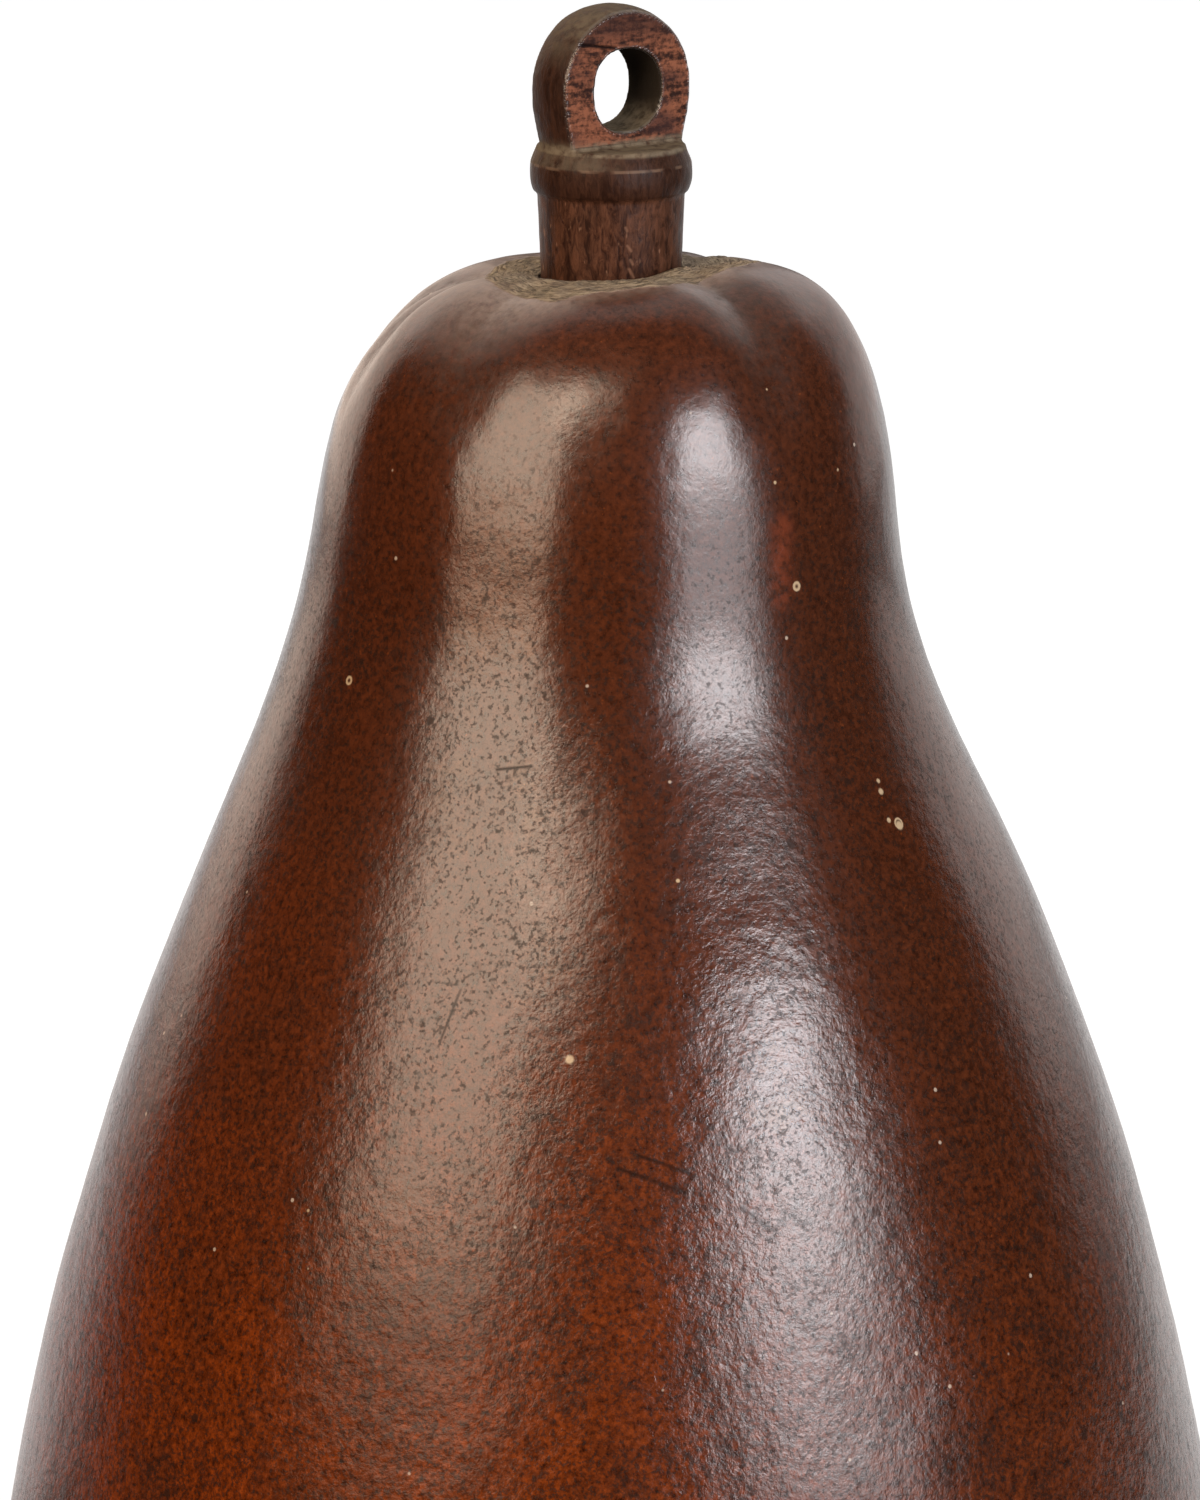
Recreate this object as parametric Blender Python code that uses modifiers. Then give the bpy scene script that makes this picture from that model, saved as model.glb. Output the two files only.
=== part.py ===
"""Dried bottle gourd used as a flask, closed by a carved wooden stopper with an eye for a cord.

Metres, +Z up. The origin is the middle of the flat spot that the gourd stands on, and the stopper's eye
is drilled along Y. Lengths are written in millimetres and multiplied by MM.
"""

import bisect
import math

import bpy
from mathutils import Vector

MM = 0.001

# The gourd's skin, as (radius, height) from the flat spot that it stands on up to the mouth.
SKIN_OUTLINE = (
    (24.0, 0.0),
    (38.5, 3.4),
    (52.5, 12.0),
    (65.0, 26.5),
    (72.6, 45.5),
    (75.0, 68.0),
    (73.9, 86.0),
    (71.8, 98.0),
    (68.4, 114.0),
    (64.1, 130.0),
    (59.0, 146.0),
    (53.7, 160.0),
    (48.3, 173.0),
    (43.3, 184.0),
    (39.2, 194.0),
    (36.3, 204.0),
    (34.7, 214.0),
    (33.1, 223.0),
    (30.7, 230.4),
    (27.3, 236.0),
    (23.1, 239.9),
    (18.6, 241.8),
    (13.6, 242.3),
    (8.7, 241.9),
)
STEPS_BETWEEN = 2
TURN_STEPS = 64
INNER_STRIDE = 3

# The blossom scar under the gourd, a small dimple in the middle of the flat spot.
SCAR_RADIUS = 5.2
SCAR_DEPTH = 1.0

# The dried wall is thicker round the stem end than in the belly.
BELLY_WALL = 4.5
CROWN_WALL = 6.0
CROWN_STARTS = 225.0
CROWN_LEVEL = 240.0

# Compass angles run anticlockwise from +X, seen from above. The side with the broad lobe is the front.
FRONT = math.radians(-127.0)

# Valleys that run down from the stem end: (angle to the right of the front in degrees, depth of the
# valley, its breadth against a usual one, height of the lobe up to the next). A depth below 0 is a ridge.
CROWN_VALLEYS = (
    (-97.0, 0.9, 1.3, 0.1),
    (-79.0, 0.7, 0.8, 0.6),
    (-39.0, 0.75, 2.1, 0.1),
    (17.0, -0.4, 1.8, 0.1),
    (39.5, 0.9, 1.1, 0.9),
    (104.0, 0.9, 1.0, 0.2),
    (137.0, 0.4, 1.0, 0.6),
    (172.0, 0.7, 1.0, 1.0),
)
# Lobes rise from the dry disc round the mouth, and run out into the smooth neck.
LOBE_INNER_EDGE = 10.5
LOBE_CREST = 18.0
LOBE_FADE_FROM = 241.0
LOBE_FADE_TO = 222.0
VALLEY_WIDTH_BASE = 0.8
VALLEY_WIDTH_SHARE = 0.11

# The stem end leans a little to the back and the left, and the neck below it sways to the left.
CROWN_LEAN_BACK = 0.045
CROWN_LEAN_LEFT = 0.04
NECK_SWAY = 0.95
NECK_SWAY_FROM = 165.0
NECK_SWAY_TO = 234.0

# Seen from above the gourd isn't quite round. The flat spot stays flat.
OVALNESS = 0.006
OVAL_FROM = 20.0

# The stopper: a tapered plug, a collar and a turned head whose two sides are cut flat.
PLUG_FOOT = 225.5
PLUG_FOOT_CHAMFER = 0.9
PLUG_TOP = 251.7
PLUG_TOP_RADIUS = 8.76
PLUG_TAPER = 0.043
SEAT_GAP = 0.3
COLLAR_OUTLINE = ((9.2, 251.9), (9.52, 252.9), (9.62, 254.5), (9.42, 255.8), (8.95, 256.9))
WAIST = (8.72, 257.5)
HEAD_SIDE_OUTLINE = ((9.1, 259.0), (9.58, 261.3))
HEAD_CENTRE = 264.2
HEAD_RADIUS = 9.84
DOME_STEPS = 9
HEAD_THICKNESS = 6.7
FLAT_CUT_BOTTOM = 257.35
EYE_RADIUS = 5.0
EYE_CENTRE = 264.1
EYE_SIDES = 40
STOPPER_TURN_STEPS = 60
CUTTER_SIZE = 30.0
EDGE_ANGLE = 35.0


def clear_scene():
    for old in list(bpy.data.objects):
        bpy.data.objects.remove(old)


def new_collection(name):
    made = bpy.data.collections.new(name)
    bpy.context.scene.collection.children.link(made)
    return made


def plain_material(name, colour, roughness):
    material = bpy.data.materials.new(name)
    material.use_nodes = True
    shader = material.node_tree.nodes["Principled BSDF"]
    shader.inputs["Base Color"].default_value = (*colour, 1.0)
    shader.inputs["Roughness"].default_value = roughness
    shader.inputs["Metallic"].default_value = 0.0
    return material


def smooth_step(low, high, value):
    share = min(1.0, max(0.0, (value - low) / (high - low)))
    return share * share * (3.0 - 2.0 * share)


def smooth_through(points, steps):
    """A Catmull-Rom curve through the points, with this many steps from each point to the next."""
    knots = [Vector(p) for p in points]
    before = 2.0 * knots[0] - knots[1]
    after = 2.0 * knots[-1] - knots[-2]
    padded = [before, *knots, after]
    made = []
    for i in range(1, len(padded) - 2):
        start, end = padded[i], padded[i + 1]
        chord = (end - start).length
        leave = (end - padded[i - 1]) * (chord / (end - padded[i - 1]).length)
        arrive = (padded[i + 2] - start) * (chord / (padded[i + 2] - start).length)
        for k in range(steps):
            t = k / steps
            made.append(
                start * (2.0 * t**3 - 3.0 * t**2 + 1.0)
                + leave * (t**3 - 2.0 * t**2 + t)
                + end * (3.0 * t**2 - 2.0 * t**3)
                + arrive * (t**3 - t**2)
            )
    return [*made, knots[-1]]


def plug_radius(height):
    return PLUG_TOP_RADIUS - PLUG_TAPER * (PLUG_TOP - height)


def inner_wall(skin):
    """The wall's inside, bottom to top: the skin moved inwards by the wall's thickness."""
    made = []
    for i in range(INNER_STRIDE, len(skin) - INNER_STRIDE, INNER_STRIDE):
        along = (skin[i + 1] - skin[i - 1]).normalized()
        inward = Vector((-along.y, along.x))
        wall = BELLY_WALL + (CROWN_WALL - BELLY_WALL) * smooth_step(CROWN_STARTS, CROWN_LEVEL, skin[i].y)
        made.append(skin[i] + inward * wall)
    return made


def gourd_profile():
    """The whole cut of the wall, from the axis inside, up to the mouth, and down the skin to the scar."""
    skin = smooth_through(SKIN_OUTLINE, STEPS_BETWEEN)
    mouth = skin[-1]
    bore_bottom = mouth.y - CROWN_WALL
    inside = [Vector((0.0, BELLY_WALL)), Vector((skin[0].x, BELLY_WALL)), *inner_wall(skin)]
    bore = [Vector((plug_radius(z) + SEAT_GAP, z)) for z in (bore_bottom, bore_bottom + 0.5 * CROWN_WALL)]
    flat_spot = [Vector((SCAR_RADIUS, 0.0)), Vector((0.6 * SCAR_RADIUS, 0.75 * SCAR_DEPTH))]
    return [*inside, *bore, *reversed(skin), *flat_spot, Vector((0.0, SCAR_DEPTH))]


def turned_mesh(name, profile, steps):
    """A solid of revolution about Z from (radius, height) points, as a mesh of its own."""
    mesh = bpy.data.meshes.new(name + "_outline")
    points = [(p[0] * MM, 0.0, p[1] * MM) for p in profile]
    mesh.from_pydata(points, [(i, i + 1) for i in range(len(points) - 1)], [])
    outline = bpy.data.objects.new(name + "_outline", mesh)
    bpy.context.scene.collection.objects.link(outline)
    turn = outline.modifiers.new("Turn", "SCREW")
    turn.steps = turn.render_steps = steps
    turn.use_merge_vertices = True
    turn.merge_threshold = 0.000001
    graph = bpy.context.evaluated_depsgraph_get()
    made = bpy.data.meshes.new_from_object(outline.evaluated_get(graph))
    made.name = name
    bpy.data.objects.remove(outline)
    bpy.data.meshes.remove(mesh)
    return made


def from_front(x, y):
    """Degrees to the right of the front, from -180 to 180, of a point seen from above."""
    turned = math.degrees(math.atan2(y, x) - FRONT)
    return (turned + 180.0) % 360.0 - 180.0


def lobe_rise(angle, radius):
    """How far the skin of the crown stands out at this angle: up on a lobe, down in a valley."""
    starts = [valley[0] for valley in CROWN_VALLEYS]
    i = (bisect.bisect_right(starts, angle) - 1) % len(starts)
    span = (starts[(i + 1) % len(starts)] - starts[i]) % 360.0
    across = 2.0 * ((angle - starts[i]) % 360.0) / span - 1.0
    rise = CROWN_VALLEYS[i][3] * (1.0 - across * across)
    width = VALLEY_WIDTH_BASE + VALLEY_WIDTH_SHARE * radius
    for start, depth, breadth, _ in CROWN_VALLEYS:
        apart = (angle - start + 180.0) % 360.0 - 180.0
        rise -= depth * math.exp(-((math.radians(apart) * radius / (breadth * width)) ** 2))
    return rise


def grow(mesh):
    """Moves the turned wall to the shape that the gourd grew into."""
    front = Vector((math.cos(FRONT), math.sin(FRONT), 0.0))
    left = Vector((front.y, -front.x, 0.0))
    middle = Vector((0.0, 0.0, 0.5 * SKIN_OUTLINE[-1][1] * MM))
    normals = [vertex.normal.copy() for vertex in mesh.vertices]
    for vertex, normal in zip(mesh.vertices, normals):
        place = vertex.co.copy()
        radius = math.hypot(place.x, place.y) / MM
        height = place.z / MM
        angle = from_front(place.x, place.y)
        flat = Vector((place.x, place.y, 0.0))
        oval = OVALNESS * math.sin(2.0 * math.radians(angle)) * smooth_step(0.0, OVAL_FROM, height)
        vertex.co += flat * oval
        if NECK_SWAY_FROM < height < NECK_SWAY_TO:
            share = (height - NECK_SWAY_FROM) / (NECK_SWAY_TO - NECK_SWAY_FROM)
            vertex.co += left * NECK_SWAY * MM * math.sin(math.pi * share) ** 2
        outside = normal.dot(place - middle) > 0.0
        if outside and height > LOBE_FADE_TO and radius > LOBE_INNER_EDGE:
            share = smooth_step(LOBE_FADE_TO, LOBE_FADE_FROM, height)
            share *= smooth_step(LOBE_INNER_EDGE, LOBE_CREST, radius)
            vertex.co += normal * lobe_rise(angle, radius) * share * MM
        if outside:
            lean = CROWN_LEAN_LEFT * flat.dot(left) - CROWN_LEAN_BACK * flat.dot(front)
            vertex.co.z -= lean * smooth_step(CROWN_STARTS, CROWN_LEVEL, height)


def keep_as_cutter(cutter, name, collection):
    cutter.name = name
    for old in list(cutter.users_collection):
        old.objects.unlink(cutter)
    collection.objects.link(cutter)
    cutter.hide_render = True
    cutter.display_type = "WIRE"
    return cutter


def eye_drill(collection):
    bpy.ops.mesh.primitive_cylinder_add(
        vertices=EYE_SIDES,
        radius=EYE_RADIUS * MM,
        depth=CUTTER_SIZE * MM,
        location=(0.0, 0.0, EYE_CENTRE * MM),
        rotation=(math.pi / 2.0, 0.0, 0.0),
    )
    return keep_as_cutter(bpy.context.object, "eye_drill", collection)


def flat_saw(name, side, collection):
    """A block that saws the head flat on one side, down to the top of the collar."""
    from_middle = side * 0.5 * (HEAD_THICKNESS + CUTTER_SIZE) * MM
    height = (FLAT_CUT_BOTTOM + 0.5 * CUTTER_SIZE) * MM
    bpy.ops.mesh.primitive_cube_add(size=CUTTER_SIZE * MM, location=(0.0, from_middle, height))
    return keep_as_cutter(bpy.context.object, name, collection)


def stopper_profile():
    dome = []
    for k in range(DOME_STEPS + 1):
        angle = math.pi / 2.0 * (1.0 - k / DOME_STEPS)
        dome.append((HEAD_RADIUS * math.cos(angle), HEAD_CENTRE + HEAD_RADIUS * math.sin(angle)))
    dome[0] = (0.0, HEAD_CENTRE + HEAD_RADIUS)
    side = [*reversed(HEAD_SIDE_OUTLINE), WAIST, *reversed(COLLAR_OUTLINE)]
    shank_end = PLUG_FOOT + PLUG_FOOT_CHAMFER
    plug = [
        (PLUG_TOP_RADIUS, PLUG_TOP),
        (plug_radius(shank_end), shank_end),
        (plug_radius(shank_end) - PLUG_FOOT_CHAMFER, PLUG_FOOT),
        (0.0, PLUG_FOOT),
    ]
    return [*dome, *side, *plug]


def make_gourd(parts):
    mesh = turned_mesh("gourd", gourd_profile(), TURN_STEPS)
    grow(mesh)
    gourd = bpy.data.objects.new("gourd", mesh)
    parts.objects.link(gourd)
    mesh.materials.append(plain_material("gourd_skin", (0.105, 0.026, 0.009), 0.3))
    mesh.shade_smooth()
    return gourd


def make_stopper(parts, cutters):
    mesh = turned_mesh("stopper", stopper_profile(), STOPPER_TURN_STEPS)
    stopper = bpy.data.objects.new("stopper", mesh)
    parts.objects.link(stopper)
    mesh.materials.append(plain_material("stopper_wood", (0.085, 0.034, 0.018), 0.5))
    cutting = (
        eye_drill(cutters),
        flat_saw("front_saw", -1.0, cutters),
        flat_saw("back_saw", 1.0, cutters),
    )
    for cutter in cutting:
        cut = stopper.modifiers.new("Cut " + cutter.name, "BOOLEAN")
        cut.operation = "DIFFERENCE"
        cut.object = cutter
    mesh.shade_smooth()
    mesh.set_sharp_from_angle(angle=math.radians(EDGE_ANGLE))
    return stopper


def main():
    clear_scene()
    parts = new_collection("bottle_gourd")
    cutters = new_collection("cutters")
    make_gourd(parts)
    make_stopper(parts, cutters)


main()
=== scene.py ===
"""Looks for the dried bottle gourd flask: its polished rind, its carved stopper and a plain studio.

Lengths are in millimetres and are multiplied by MM. Heights are above the flat spot that the gourd
stands on, and compass angles are in degrees to the right of its front, the side with the broad lobe.
"""

import math

import bpy
import numpy as np
from bpy.props import FloatProperty, FloatVectorProperty, IntProperty, PointerProperty
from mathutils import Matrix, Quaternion, Vector, noise


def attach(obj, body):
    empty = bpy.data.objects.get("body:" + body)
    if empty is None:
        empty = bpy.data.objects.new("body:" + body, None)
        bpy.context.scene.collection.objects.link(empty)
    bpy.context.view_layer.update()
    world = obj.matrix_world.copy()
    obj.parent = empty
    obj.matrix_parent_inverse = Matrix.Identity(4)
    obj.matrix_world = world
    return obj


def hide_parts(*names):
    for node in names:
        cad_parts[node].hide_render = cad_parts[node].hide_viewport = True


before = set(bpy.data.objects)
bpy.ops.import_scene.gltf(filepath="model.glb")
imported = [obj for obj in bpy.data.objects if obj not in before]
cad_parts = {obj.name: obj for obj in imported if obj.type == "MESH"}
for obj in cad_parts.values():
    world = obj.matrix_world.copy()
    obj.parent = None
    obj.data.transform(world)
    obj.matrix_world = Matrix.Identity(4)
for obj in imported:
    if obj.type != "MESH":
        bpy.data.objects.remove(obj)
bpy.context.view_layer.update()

bl_info = {
    "name": "Dried Bottle Gourd",
    "version": (1, 0, 0),
    "blender": (4, 5, 0),
    "location": "View3D > Sidebar > Gourd",
    "description": "Makes a dried bottle gourd flask with a carved wooden stopper",
    "category": "Object",
}

MM = 0.001

# The gourd's skin, as (radius, height) from the flat spot up to the mouth.
SKIN_OUTLINE = (
    (24.0, 0.0), (38.5, 3.4), (52.5, 12.0), (65.0, 26.5), (72.6, 45.5), (75.0, 68.0),
    (73.9, 86.0), (71.8, 98.0), (68.4, 114.0), (64.1, 130.0), (59.0, 146.0), (53.7, 160.0),
    (48.3, 173.0), (43.3, 184.0), (39.2, 194.0), (36.3, 204.0), (34.7, 214.0), (33.1, 223.0),
    (30.7, 230.4), (27.3, 236.0), (23.1, 239.9), (18.6, 241.8), (13.6, 242.3), (8.7, 241.9),
)
SCAR_RADIUS = 5.2
SCAR_DEPTH = 1.0
BELLY_WALL = 4.5
CROWN_WALL = 6.0
CROWN_STARTS = 225.0
CROWN_LEVEL = 240.0
CROWN_ARC = 34.0
INNER_ROWS = 18
BORE_ROWS = 8
SCAR_ROWS = 12
FLAT_ROWS = 14
FRONT = -127.0
RIGHT_TURN = math.radians(FRONT + 90.0)
RIGHT_SIDE = Vector((math.cos(RIGHT_TURN), math.sin(RIGHT_TURN), 0.0))

# Valleys that run down from the stem end: angle, depth, breadth, and the height of the lobe up to
# the next one.
CROWN_VALLEYS = (
    (-97.0, 0.9, 1.3, 0.1), (-79.0, 0.7, 0.8, 0.6), (-39.0, 0.75, 2.1, 0.1),
    (17.0, -0.4, 1.8, 0.1), (39.5, 0.9, 1.1, 0.9), (104.0, 0.9, 1.0, 0.2),
    (137.0, 0.4, 1.0, 0.6), (172.0, 0.7, 1.0, 1.0),
)
LOBE_INNER_EDGE = 10.5
LOBE_CREST = 18.0
LOBE_FADE_FROM = 241.0
LOBE_FADE_TO = 222.0
VALLEY_WIDTH_BASE = 0.8
VALLEY_WIDTH_SHARE = 0.11
CROWN_LEAN_BACK = 0.045
CROWN_LEAN_LEFT = 0.04
NECK_SWAY = 0.95
NECK_SWAY_FROM = 165.0
NECK_SWAY_TO = 234.0
OVALNESS = 0.006
OVAL_FROM = 20.0

# The dry disc round the mouth: angle, radius of its edge, and width of the dust and painted sheen
# beyond.
DISC_EDGE = (
    (-180.0, 14.5, 2.5), (-103.0, 14.8, 6.0), (-75.0, 15.5, 12.0), (-39.0, 18.0, 13.0),
    (-20.0, 20.6, 6.0), (-4.0, 18.6, 4.0), (21.0, 18.4, 3.0), (44.0, 15.2, 6.0),
    (78.0, 17.5, 3.0), (105.0, 18.5, 2.5), (140.0, 15.5, 2.5), (180.0, 14.5, 2.5),
)

# Right of the plug the mouth's edge stands up and away from it: angle, half width, rise, gap, and the
# radii over which it sets in.
LIP_ANGLE = 58.0
LIP_SPREAD = 24.0
LIP_RISE = 0.9
LIP_GAP = 0.45
LIP_RADII = (12.5, 9.5)

# Radii between which the bark and the unevenness of the skin set in round the mouth.
BARK_SETS_IN = (8.7, 9.6)
UNEVEN_SETS_IN = (9.0, 12.0)

# Lumps of each kind of surface: (size, seed, share), and how far they are stretched along X, Y and Z.
SWELL_LUMPS = ((34.0, 1, 0.7), (15.0, 2, 0.5))
RIPPLE_LUMPS = ((4.5, 3, 1.0), (2.2, 4, 0.6))
RIPPLE_STRETCH = (1.0, 1.0, 0.6)
BARK_LUMPS = ((1.6, 5, 1.0), (0.8, 6, 0.7))
FACET_LUMPS = ((3.2, 11, 0.8), (1.4, 12, 0.4))
SAW_LUMPS = ((0.8, 13, 1.0),)
SAW_STRETCH = (6.0, 1.0, 0.7)

# The stopper's turned outline, as (radius, height), and what is cut from it.
PLUG_FOOT = 225.5
PLUG_FOOT_CHAMFER = 0.9
PLUG_TOP = 251.7
PLUG_TOP_RADIUS = 8.76
PLUG_TAPER = 0.043
SEAT_GAP = 0.3
COLLAR_OUTLINE = ((9.2, 251.9), (9.5, 252.8), (9.62, 254.2), (9.56, 255.3))
COLLAR_SHOULDER = (8.9, 256.9)
WAIST = (8.72, 257.5)
HEAD_SIDE_OUTLINE = ((9.1, 259.0), (9.58, 261.3))
HEAD_CENTRE = 264.2
HEAD_RADIUS = 9.84
HEAD_THICKNESS = 6.7
FLAT_CUT_BOTTOM = 257.35
EYE_RADIUS = 5.0
EYE_CENTRE = 264.1
DOME_ROWS = 24
HEAD_ROWS = 14
COLLAR_ROWS = 12
STOPPER_STEPS = 160
CUTTER_SIZE = 30.0
KNIFE_STARTS = (244.0, 247.0)


def length_setting(name, description, default):
    return FloatProperty(name=name, description=description, default=default, unit="LENGTH")


def colour_setting(name, description, default):
    return FloatVectorProperty(name=name, description=description, subtype="COLOR", default=default)


class GourdSettings(bpy.types.PropertyGroup):
    """Sizes and colours of the rind."""

    turn_steps: IntProperty(
        name="Turn steps", description="Faces round the gourd", default=320, min=16, max=512
    )
    row_spacing: length_setting("Row spacing", "Distance between rows on the belly", 1.5 * MM)
    crown_spacing: length_setting("Crown spacing", "Distance between rows on the crown", 0.6 * MM)
    swell: length_setting("Swell", "Height of the broad, shallow swellings", 0.28 * MM)
    ripple: length_setting("Ripple", "Height of the small ripples in the skin", 0.035 * MM)
    bark_relief: length_setting("Bark relief", "Height of the fibres on the dry disc", 0.28 * MM)
    belly_colour: colour_setting("Belly colour", "Skin low on the belly", (0.105, 0.0185, 0.0017))
    neck_colour: colour_setting("Neck colour", "Skin on the neck", (0.048, 0.0118, 0.0036))
    # Painted shade: the colour that the skin darkens to on its right side.
    painted_shade_colour: colour_setting("Shaded colour", "Skin on the right side", (0.03, 0.0085, 0.0035))
    ember_colour: colour_setting("Ember colour", "Small orange dots", (0.22, 0.05, 0.008))
    fleck_colour: colour_setting("Fleck colour", "Dark flecks in the skin", (0.01, 0.0055, 0.0038))
    bark_colour: colour_setting("Bark colour", "Dry disc round the mouth", (0.3, 0.245, 0.17))
    gloss_roughness: FloatProperty(
        name="Roughness", description="Roughness of the polished skin", default=0.15, min=0.0, max=1.0
    )


class StopperSettings(bpy.types.PropertyGroup):
    """Sizes and colours of the stopper."""

    voxel: length_setting("Voxel size", "Grain of the fine mesh", 0.24 * MM)
    wear_rounds: IntProperty(
        name="Wear", description="Rounds of smoothing that wear the edges", default=3, min=0
    )
    knife_relief: length_setting("Knife marks", "Height of the marks that the knife left", 0.09 * MM)
    dark_colour: colour_setting("Dark wood", "Dark grain of the wood", (0.014, 0.005, 0.0028))
    light_colour: colour_setting("Light wood", "Light grain of the wood", (0.078, 0.031, 0.016))
    flat_colour: colour_setting("Sawn wood", "Freshly sawn flats", (0.2, 0.075, 0.041))
    dust_colour: colour_setting("Dust", "Dust in the corners", (0.15, 0.124, 0.088))


class StageSettings(bpy.types.PropertyGroup):
    """The camera, the floor and the lights."""

    camera_distance: length_setting("Camera distance", "From the camera to the neck", 1.1)
    camera_elevation: FloatProperty(
        name="Camera elevation",
        description="Angle above the horizon",
        default=math.radians(12.0),
        subtype="ANGLE",
    )
    lens: FloatProperty(name="Lens", description="Focal length in millimetres", default=220.0)
    floor_glow: FloatProperty(
        name="Floor glow", description="Light that the floor gives off", default=1.0
    )


def smooth_step(low, high, value):
    share = np.clip((value - low) / (high - low), 0.0, 1.0)
    return share * share * (3.0 - 2.0 * share)


def spline_through(points, spacings):
    """A natural cubic spline through the points, sampled at these distances along it."""
    knots = np.array(points, float)
    reach = np.concatenate([[0.0], np.cumsum(np.linalg.norm(np.diff(knots, axis=0), axis=1))])
    gap = np.diff(reach)
    count = len(knots)
    system = np.eye(count)
    wanted = np.zeros((count, 2))
    for i in range(1, count - 1):
        system[i, i - 1 : i + 2] = gap[i - 1], 2.0 * (gap[i - 1] + gap[i]), gap[i]
        wanted[i] = 6.0 * ((knots[i + 1] - knots[i]) / gap[i] - (knots[i] - knots[i - 1]) / gap[i - 1])
    bend = np.linalg.solve(system, wanted)
    at = np.clip(spacings, 0.0, reach[-1])
    i = np.clip(np.searchsorted(reach, at, side="right") - 1, 0, count - 2)
    width = gap[i][:, None]
    after = (at - reach[i])[:, None]
    before = width - after
    return (
        bend[i] * before**3 / (6.0 * width)
        + bend[i + 1] * after**3 / (6.0 * width)
        + (knots[i] / width - bend[i] * width / 6.0) * before
        + (knots[i + 1] / width - bend[i + 1] * width / 6.0) * after
    )


def arc_length(points):
    return float(np.linalg.norm(np.diff(np.array(points, float), axis=0), axis=1).sum())


def plug_radius(height):
    return PLUG_TOP_RADIUS - PLUG_TAPER * (PLUG_TOP - height)


def turned_mesh(name, profile, steps):
    """A solid of revolution about Z from (radius, height) points, as a mesh of its own."""
    outline_mesh = bpy.data.meshes.new(name + "_outline")
    places = [(radius * MM, 0.0, height * MM) for radius, height in profile]
    outline_mesh.from_pydata(places, [(i, i + 1) for i in range(len(places) - 1)], [])
    outline = bpy.data.objects.new(name + "_outline", outline_mesh)
    bpy.context.scene.collection.objects.link(outline)
    turn = outline.modifiers.new("Turn", "SCREW")
    turn.steps = turn.render_steps = steps
    turn.use_merge_vertices = True
    turn.merge_threshold = 0.000001
    made = evaluated_mesh(outline, name)
    bpy.data.objects.remove(outline)
    bpy.data.meshes.remove(outline_mesh)
    return made


def evaluated_mesh(item, name):
    graph = bpy.context.evaluated_depsgraph_get()
    made = bpy.data.meshes.new_from_object(item.evaluated_get(graph))
    made.name = name
    return made


def link_object(name, mesh):
    item = bpy.data.objects.new(name, mesh)
    bpy.context.scene.collection.objects.link(item)
    return item


def read_places(mesh):
    places = np.empty(len(mesh.vertices) * 3)
    mesh.vertices.foreach_get("co", places)
    return places.reshape(-1, 3)


def read_normals(mesh):
    normals = np.empty(len(mesh.vertices) * 3)
    mesh.vertices.foreach_get("normal", normals)
    return normals.reshape(-1, 3)


def write_places(mesh, places):
    mesh.vertices.foreach_set("co", places.ravel())
    mesh.update()


def write_attribute(mesh, name, values):
    attribute = mesh.attributes.new(name, "FLOAT", "POINT")
    attribute.data.foreach_set("value", values.astype(np.float32))


def lumps(places, layers, stretch=(1.0, 1.0, 1.0)):
    """Smooth lumps in layers of (size, seed, share), each from minus its share to its share."""
    total = np.zeros(len(places))
    for size, seed, share in layers:
        offset = Vector((seed * 7.31, seed * 3.17, seed * 5.77))
        scaled = places / (size * MM * np.array(stretch))
        total += share * np.array([noise.noise(Vector(place) + offset) for place in scaled])
    return total


# The rind


def from_front(places):
    turned = np.degrees(np.arctan2(places[:, 1], places[:, 0])) - FRONT
    return (turned + 180.0) % 360.0 - 180.0


def skin_rows(settings):
    """The skin's outline from the foot to the mouth, with finer rows on the crown."""
    whole = arc_length(spline_through(SKIN_OUTLINE, np.linspace(0.0, 1000.0, 4000)))
    knots = arc_length(SKIN_OUTLINE)
    crown_starts = knots - CROWN_ARC
    belly_rows = int(whole * MM / settings.row_spacing)
    crown_rows = int(CROWN_ARC * MM / settings.crown_spacing)
    belly = np.linspace(0.0, crown_starts, belly_rows, endpoint=False)
    crown = np.linspace(crown_starts, knots, crown_rows)
    return spline_through(SKIN_OUTLINE, np.concatenate([belly, crown]))


def inner_rows():
    """The wall's inside, bottom to top: the skin moved inwards by the wall's thickness."""
    reach = arc_length(SKIN_OUTLINE)
    skin = spline_through(SKIN_OUTLINE, np.linspace(0.05, 0.93, INNER_ROWS) * reach)
    along = np.gradient(skin, axis=0)
    along /= np.linalg.norm(along, axis=1)[:, None]
    inward = np.stack([-along[:, 1], along[:, 0]], axis=1)
    wall = BELLY_WALL + (CROWN_WALL - BELLY_WALL) * smooth_step(CROWN_STARTS, CROWN_LEVEL, skin[:, 1])
    return skin + inward * wall[:, None]


def gourd_profile(settings):
    skin = skin_rows(settings)
    mouth_height = SKIN_OUTLINE[-1][1]
    foot_radius = SKIN_OUTLINE[0][0]
    bore_heights = np.linspace(mouth_height - CROWN_WALL, mouth_height - 0.4, BORE_ROWS)
    bore = [(plug_radius(height) + SEAT_GAP, height) for height in bore_heights]
    scar = [
        (0.5 * SCAR_RADIUS * (1.0 + math.cos(turn)), 0.5 * SCAR_DEPTH * (1.0 - math.cos(turn)))
        for turn in np.linspace(0.0, math.pi, SCAR_ROWS)
    ]
    flat_spot = [(radius, 0.0) for radius in np.linspace(foot_radius, SCAR_RADIUS, FLAT_ROWS)[1:-1]]
    inside = [(0.0, BELLY_WALL), (foot_radius, BELLY_WALL), *inner_rows()]
    return [*inside, *bore, *skin[::-1], *flat_spot, *scar[:-1], (0.0, SCAR_DEPTH)]


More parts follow.
